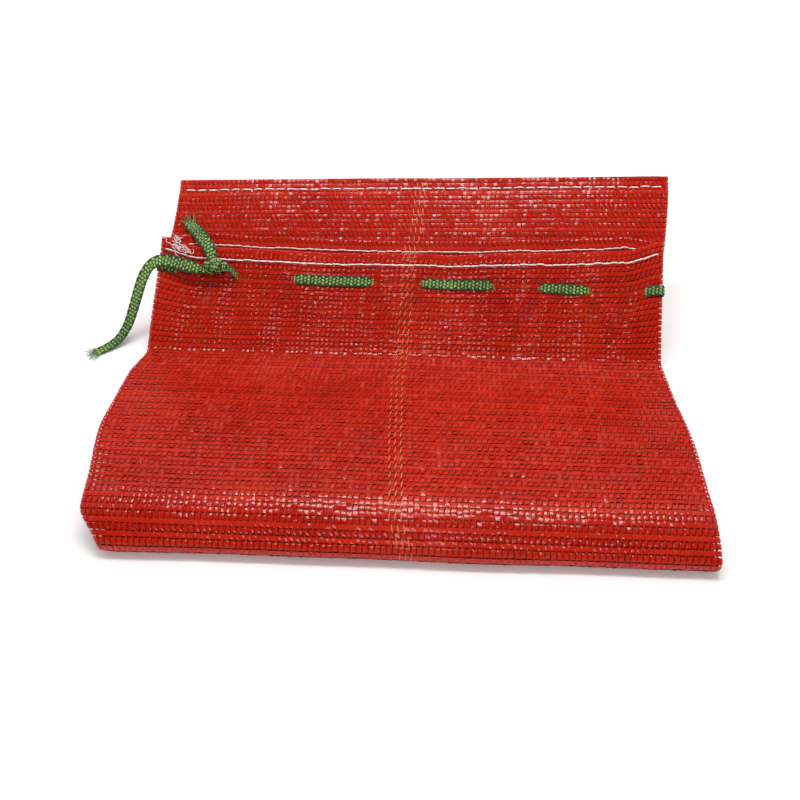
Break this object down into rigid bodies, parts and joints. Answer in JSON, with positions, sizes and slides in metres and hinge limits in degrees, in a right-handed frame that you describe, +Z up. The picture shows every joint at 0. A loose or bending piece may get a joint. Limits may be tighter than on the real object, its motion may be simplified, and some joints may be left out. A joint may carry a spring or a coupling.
{
  "type": "mesh vegetable bag",
  "caption": "Flat woven-tape mesh bag folded once with a pressed crease, sewn bottom hem, turned mouth hem and a knotted drawstring threaded round the open mouth.",
  "frame": {"origin": "on the surface that the folded bag rests on, under the middle of the bag without the two free ends of its drawstring", "axes": "+X across the bag to its right, +Y from the front fold to the back, +Z up"},
  "size_m": [0.4658, 0.3286, 0.1005],
  "materials": {
    "mesh_cloth": "glossy woven polypropylene tape",
    "green_tape": "satin braided tape",
    "white_thread": "matt sewing thread"
  },
  "bodies": {
    "root": {"bag_body": "mesh_cloth", "mouth_hem": "mesh_cloth", "bottom_hem": "mesh_cloth", "drawstring": "green_tape", "drawstring_knot": "green_tape", "tail_up": "green_tape", "tail_side": "green_tape"}
  },
  "joints": []
}
